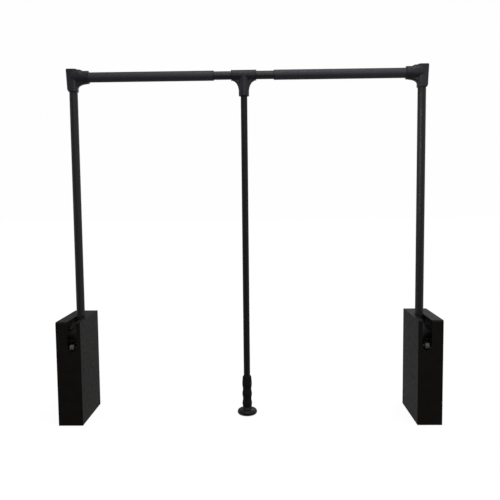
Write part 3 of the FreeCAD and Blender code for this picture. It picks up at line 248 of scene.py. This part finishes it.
def mixed(material, factor, first, second):
    """A colour between two, by a factor. The first may also be another node's colour."""
    mix = add(material, "Mix", data_type="RGBA")
    first_in, second_in = sockets_of(mix.inputs, "RGBA")
    link(material, factor, sockets_of(mix.inputs, "VALUE")[0])
    if isinstance(first, bpy.types.NodeSocket):
        link(material, first, first_in)
    else:
        first_in.default_value = (*first, 1)
    second_in.default_value = (*second, 1)
    return sockets_of(mix.outputs, "RGBA")[0]


def noise(material, size, detail, stretch=(1, 1, 1)):
    """A noise whose grains have a size in metres, longer along the axes that stretch names."""
    place = add(material, "TexCoord")
    scale = [1 / (size * factor) for factor in stretch]
    mapping = add(material, "Mapping", {"Scale": scale})
    grains = add(material, "TexNoise", {"Scale": 1.0, "Detail": detail, "Roughness": NOISE_ROUGHNESS})
    link(material, place.outputs["Object"], mapping.inputs["Vector"])
    link(material, mapping.outputs["Vector"], grains.inputs["Vector"])
    return grains.outputs["Fac"]


def edge_worn(material, colour, worn, radius):
    """The colour, lighter where an edge turns within the radius, as handling leaves it."""
    rounded = add(material, "Bevel", {"Radius": radius}, samples=BEVEL_SAMPLES)
    flat = add(material, "NewGeometry")
    turn = add(material, "VectorMath", operation="DOT_PRODUCT")
    link(material, rounded.outputs["Normal"], turn.inputs[0])
    link(material, flat.outputs["Normal"], turn.inputs[1])
    edge = spread(material, turn.outputs["Value"], 1.0, 0.0, 1 - WORN_FULL, 1 - WORN_START)
    patches = spread(material, noise(material, WORN_PATCH, detail=3), WORN_LEAST, 1.0)
    return mixed(material, worked_out(material, "MULTIPLY", edge, patches), colour, worn)


def bumped(material, shader, layers, edge_radius):
    """Rounded edges and then each layer of bump: a height and its depth in metres."""
    rounded = add(material, "Bevel", {"Radius": edge_radius}, samples=BEVEL_SAMPLES)
    normal = rounded.outputs["Normal"]
    for height, depth in layers:
        bump = add(material, "Bump", {"Strength": 1.0, "Distance": depth})
        link(material, height, bump.inputs["Height"])
        link(material, normal, bump.inputs["Normal"])
        normal = bump.outputs["Normal"]
    link(material, normal, shader.inputs["Normal"])


# Materials

def start_material(name):
    material = bpy.data.materials.new(name)
    material.use_nodes = True
    return material, material.node_tree.nodes["Principled BSDF"]


def moulded_plastic(name, dark, light, worn, rough, grain, depth, gloss=USUAL_GLOSS):
    """Black plastic from a grained mould, with faint clouds and rubbed edges."""
    material, shader = start_material(name)
    shader.inputs["Specular IOR Level"].default_value = gloss
    clouds = spread(material, noise(material, PLASTIC_CLOUD, detail=4), 0, 1)
    colour = mixed(material, clouds, dark, light)
    sheen = noise(material, PLASTIC_SHEEN, detail=4)
    grains = noise(material, grain, detail=3)
    waves = noise(material, PLASTIC_WAVE, detail=1)
    link(material, edge_worn(material, colour, worn, PLASTIC_WORN_EDGE), shader.inputs["Base Color"])
    link(material, spread(material, sheen, *rough), shader.inputs["Roughness"])
    bumped(material, shader, [(waves, PLASTIC_WAVE_DEPTH), (grains, depth)], PLASTIC_EDGE)
    return material


def powder_coat(name, dark, light, rough, depth, gloss=USUAL_GLOSS):
    """Satin powder coat on metal: orange peel, fine speckle and paler edges."""
    material, shader = start_material(name)
    shader.inputs["Specular IOR Level"].default_value = gloss
    speckle = noise(material, COAT_SPECKLE, detail=2)
    colour = mixed(material, spread(material, speckle, 0, 1), dark, light)
    worn = [COAT_WEAR * part for part in light]
    sheen = noise(material, COAT_SHEEN, detail=4)
    peel = noise(material, COAT_PEEL, detail=1)
    link(material, edge_worn(material, colour, worn, COAT_WORN_EDGE), shader.inputs["Base Color"])
    link(material, spread(material, sheen, *rough), shader.inputs["Roughness"])
    bumped(material, shader, [(peel, depth), (speckle, depth * COAT_SPECKLE_SHARE)], COAT_EDGE)
    return material


def soft_rubber(name, dark, light, rough, gloss):
    """Dull rubber with a fine grain and paler rubbed patches."""
    material, shader = start_material(name)
    shader.inputs["Specular IOR Level"].default_value = gloss
    patches = spread(material, noise(material, RUBBER_PATCH, detail=5), 0, 1)
    sheen = noise(material, RUBBER_SHEEN, detail=4)
    grains = noise(material, RUBBER_GRAIN, detail=3)
    link(material, mixed(material, patches, dark, light), shader.inputs["Base Color"])
    link(material, spread(material, sheen, *rough), shader.inputs["Roughness"])
    bumped(material, shader, [(grains, RUBBER_GRAIN_DEPTH)], RUBBER_EDGE)
    return material


def plated_steel(name, dark, light, rough, stretch):
    """Bare or plated steel with drawn lines along the stretched axes and stained patches."""
    material, shader = start_material(name)
    shader.inputs["Metallic"].default_value = 1.0
    lines = noise(material, STEEL_LINE, detail=3, stretch=stretch)
    stains = spread(material, noise(material, STEEL_STAIN, detail=5), 0, 1)
    link(material, mixed(material, stains, dark, light), shader.inputs["Base Color"])
    link(material, spread(material, lines, *rough), shader.inputs["Roughness"])
    bumped(material, shader, [(lines, STEEL_LINE_DEPTH)], METAL_EDGE)
    return material


def sintered_bronze(name, dark, light, rough):
    """Porous bronze, darker where oil stands in the pores."""
    material, shader = start_material(name)
    shader.inputs["Metallic"].default_value = 1.0
    pores = noise(material, BRONZE_PORE, detail=4)
    colour = mixed(material, spread(material, pores, 0, 1), dark, light)
    link(material, colour, shader.inputs["Base Color"])
    link(material, spread(material, pores, *rough), shader.inputs["Roughness"])
    bumped(material, shader, [(pores, BRONZE_PORE_DEPTH)], METAL_EDGE)
    return material


def grey_acetal(name, dark, light, rough):
    """Grey plastic with faint flow marks."""
    material, shader = start_material(name)
    flow = noise(material, ACETAL_FLOW, detail=4, stretch=ACETAL_FLOW_STRETCH)
    grains = noise(material, ACETAL_GRAIN, detail=2)
    colour = mixed(material, spread(material, flow, 0, 1), dark, light)
    link(material, colour, shader.inputs["Base Color"])
    link(material, spread(material, flow, *rough), shader.inputs["Roughness"])
    bumped(material, shader, [(grains, ACETAL_GRAIN_DEPTH)], ACETAL_EDGE)
    return material


def pin_with_painted_glint(name, head):
    """A blackened pin, whose dark also stands in for the shade beside the glint. Farther from the middle
    than its head's inner end, a pale patch is painted on it as a glint, in clouds.
    """
    material, shader = start_material(name)
    place = add(material, "TexCoord")
    split = add(material, "SeparateXYZ")
    link(material, place.outputs["Object"], split.inputs["Vector"])
    aside = worked_out(material, "ABSOLUTE", split.outputs["X"])
    # Painted glint: the head is pale, in clouds; the dark elsewhere also stands in for the shade in the
    # slot
    on_head = spread(material, aside, 0, 1, head - PAINTED_GLINT_START, head)
    cloud = spread(material, noise(material, PAINTED_GLINT_CLOUD, detail=3), PAINTED_GLINT_CLOUD_LEAST, 1)
    glint_share = worked_out(material, "MULTIPLY", on_head, cloud)
    sheen = noise(material, PIN_SHEEN, detail=3)
    grains = noise(material, PIN_GRAIN, detail=2)
    link(material, mixed(material, glint_share, BLACKENED_PIN_AND_SHADE_COLOUR, PAINTED_GLINT_COLOUR), shader.inputs["Base Color"])
    link(material, spread(material, sheen, *PIN_ROUGH), shader.inputs["Roughness"])
    bumped(material, shader, [(grains, PIN_GRAIN_DEPTH)], PIN_EDGE)
    return material


def make_finishes():
    """The finish of each slot, by the slot's name."""
    families = (
        (moulded_plastic, PLASTICS),
        (powder_coat, COATS),
        (soft_rubber, RUBBERS),
        (plated_steel, STEELS),
        (sintered_bronze, BRONZES),
        (grey_acetal, ACETALS),
    )
    return {slot: make(slot, **look) for make, family in families for slot, look in family.items()}


def dress_nodes(finishes):
    """Gives every piece of the frame the finish of its slot, and the stop pins their own: dark, with a
    pale glint painted on each head.
    """
    for part in frame["record"]["subparts"]:
        mesh = frame["nodes"][part["node"]].data
        mesh.materials.clear()
        mesh.materials.append(finishes[part["material_slot"]])
    pin_end = -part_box("left_stop_pins")[0][0]
    # The stop pins' heads get a pale patch painted as a glint; their dark shanks also stand in for the
    # shade in the slot
    glint_finish = pin_with_painted_glint("pin_with_painted_glint", pin_end - PIN_HEAD_WIDTH)
    for node in ("left_stop_pins", "right_stop_pins"):
        frame["nodes"][node].data.materials[0] = glint_finish


# Springs

def coil_line(low, high):
    """The middle line of the wire that fills a box: flat at both ends, with even turns between."""
    centre = (low + high) / 2
    radius = (high.x - low.x - SPRING_WIRE) / 2
    rise = high.z - low.z - SPRING_WIRE
    open_turns = SPRING_TURNS - 2 * SPRING_FLAT_TURNS
    points = []
    for step in range(SPRING_TURNS * SPRING_STEPS + 1):
        turns = step / SPRING_STEPS
        share = min(max((turns - SPRING_FLAT_TURNS) / open_turns, 0), 1)
        angle = 2 * math.pi * turns
        x = centre.x + radius * math.cos(angle)
        y = centre.y + radius * math.sin(angle)
        points.append(Vector((x, y, low.z + SPRING_WIRE / 2 + rise * share)))
    return points


def wire_mesh(name, points, radius, sides):
    """A round wire along points, closed at both ends."""
    vertices = []
    faces = []
    for number, point in enumerate(points):
        before = points[max(number - 1, 0)]
        after = points[min(number + 1, len(points) - 1)]
        along = (after - before).normalized()
        across = along.cross(Vector((0, 0, 1))).normalized()
        upward = across.cross(along)
        for side in range(sides):
            turn = 2 * math.pi * side / sides
            vertices.append(point + (across * math.cos(turn) + upward * math.sin(turn)) * radius)
    for ring in range(len(points) - 1):
        for side in range(sides):
            here = ring * sides + side
            beside = ring * sides + (side + 1) % sides
            faces.append((here, beside, beside + sides, here + sides))
    faces.append(tuple(reversed(range(sides))))
    last = (len(points) - 1) * sides
    faces.append(tuple(range(last, last + sides)))
    mesh = bpy.data.meshes.new(name)
    mesh.from_pydata(vertices, [], faces)
    mesh.shade_smooth()
    return mesh


def make_springs(finish):
    """A coil in the place of each spring's plain helix, fixed to its housing at the helix's length; the
    real spring shortens as the rack rises.
    """
    for side in ("left", "right"):
        node = side + "_counter_spring"
        low, high = [Vector(corner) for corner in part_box(node)]
        line = coil_line(low, high)
        name = side + "_coil_spring"
        coil = bpy.data.objects.new(name, wire_mesh(name, line, SPRING_WIRE / 2, SPRING_SIDES))
        coil.data.materials.append(finish)
        bpy.context.scene.collection.objects.link(coil)
        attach(coil, side + "_housing")
        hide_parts(node)
        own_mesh(coil)


# Stage

def make_floor():
    half = FLOOR_SIZE / 2
    corners = [(-half, -half, 0), (half, -half, 0), (half, half, 0), (-half, half, 0)]
    mesh = bpy.data.meshes.new("floor")
    mesh.from_pydata(corners, [], [(0, 1, 2, 3)])
    floor = bpy.data.objects.new("floor", mesh)
    material, shader = start_material("floor")
    shader.inputs["Base Color"].default_value = FLOOR_COLOUR
    shader.inputs["Roughness"].default_value = FLOOR_ROUGHNESS
    shader.inputs["Emission Color"].default_value = (1, 1, 1, 1)
    shader.inputs["Emission Strength"].default_value = FLOOR_GLOW
    mesh.materials.append(material)
    floor.visible_diffuse = False
    floor.visible_glossy = False
    bpy.context.scene.collection.objects.link(floor)


def make_world():
    """A white room for the eye. It lights the object least from low in front."""
    world = bpy.data.worlds.new("studio")
    bpy.context.scene.world = world
    world.use_nodes = True
    place = add(world, "TexCoord")
    split = add(world, "SeparateXYZ")
    link(world, place.outputs["Generated"], split.inputs["Vector"])
    x, y, z = split.outputs
    height = spread(world, z, ROOM_FRONT_LOW, ROOM_FRONT_HIGH, -ROOM_RISE, ROOM_RISE)
    across = spread(world, x, ROOM_FRONT_LEFT, ROOM_FRONT_RIGHT, -ROOM_ASIDE, ROOM_ASIDE)
    front = worked_out(world, "MULTIPLY", height, across)
    depth = add(world, "MapRange", {"From Min": -1.0, "From Max": 1.0, "To Max": ROOM_BACK})
    link(world, y, depth.inputs["Value"])
    link(world, front, depth.inputs["To Min"])
    sides = spread(world, worked_out(world, "ABSOLUTE", x), 0, ROOM_SIDES, ROOM_SIDE_START, 1)
    choose = add(world, "Mix", {"B": ROOM_WHITE})
    link(world, worked_out(world, "ADD", depth.outputs["Result"], sides), choose.inputs["A"])
    link(world, add(world, "LightPath").outputs["Is Camera Ray"], choose.inputs["Factor"])
    background = world.node_tree.nodes["Background"]
    background.inputs["Color"].default_value = (1, 1, 1, 1)
    link(world, choose.outputs["Result"], background.inputs["Strength"])


def make_light(name, place, aim, size, power, beam):
    light = bpy.data.lights.new(name, "AREA")
    light.shape = "RECTANGLE"
    light.size = size[0]
    light.size_y = size[1]
    light.energy = power
    light.spread = math.radians(beam)
    lamp = bpy.data.objects.new(name, light)
    lamp.location = place
    lamp.rotation_mode = "QUATERNION"
    lamp.rotation_quaternion = (Vector(aim) - Vector(place)).to_track_quat("-Z", "Y")
    lamp.visible_camera = False
    bpy.context.scene.collection.objects.link(lamp)


def make_camera():
    camera = bpy.data.cameras.new("camera")
    camera.lens = CAMERA_LENS
    holder = bpy.data.objects.new("camera", camera)
    turn = Matrix.Rotation(-CAMERA_YAW, 4, "Z") @ Matrix.Rotation(math.pi / 2 - CAMERA_PITCH, 4, "X")
    holder.matrix_world = Matrix.Translation(CAMERA_PLACE) @ turn @ Matrix.Rotation(-CAMERA_ROLL, 4, "Z")
    bpy.context.scene.collection.objects.link(holder)
    bpy.context.scene.camera = holder


all_finishes = make_finishes()
dress_nodes(all_finishes)
make_springs(all_finishes["spring_steel"])
make_floor()
make_world()
for softbox in SOFTBOXES:
    make_light(*softbox)
make_camera()
bpy.context.scene.view_settings.view_transform = "Standard"
